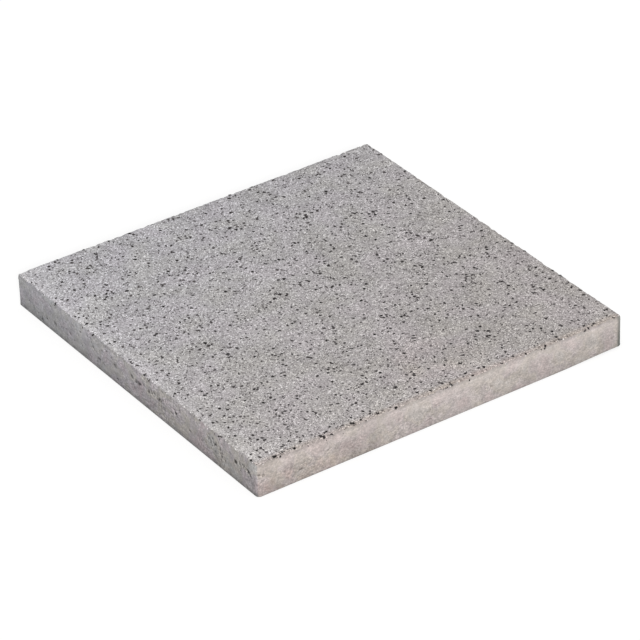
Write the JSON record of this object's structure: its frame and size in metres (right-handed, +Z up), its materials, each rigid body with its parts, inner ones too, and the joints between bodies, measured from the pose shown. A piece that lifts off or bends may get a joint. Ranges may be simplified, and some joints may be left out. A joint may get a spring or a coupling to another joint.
{
  "type": "concrete paving slab",
  "caption": "Square concrete paving slab for paths and patios, with an exposed-aggregate walking face, smooth cast sides and a softly rounded top arris.",
  "frame": {"origin": "middle of the underside, the face that is bedded on mortar or sand", "axes": "+Z up through the thickness, out of the walking face; X and Y along the slab's two equal sides"},
  "size_m": [0.45, 0.45, 0.038],
  "materials": {
    "concrete": "light grey concrete with black, grey and white stone chippings showing on the blasted walking face; smooth warm-grey cast sides"
  },
  "bodies": {
    "root": {"paving_slab": "concrete"}
  },
  "joints": []
}
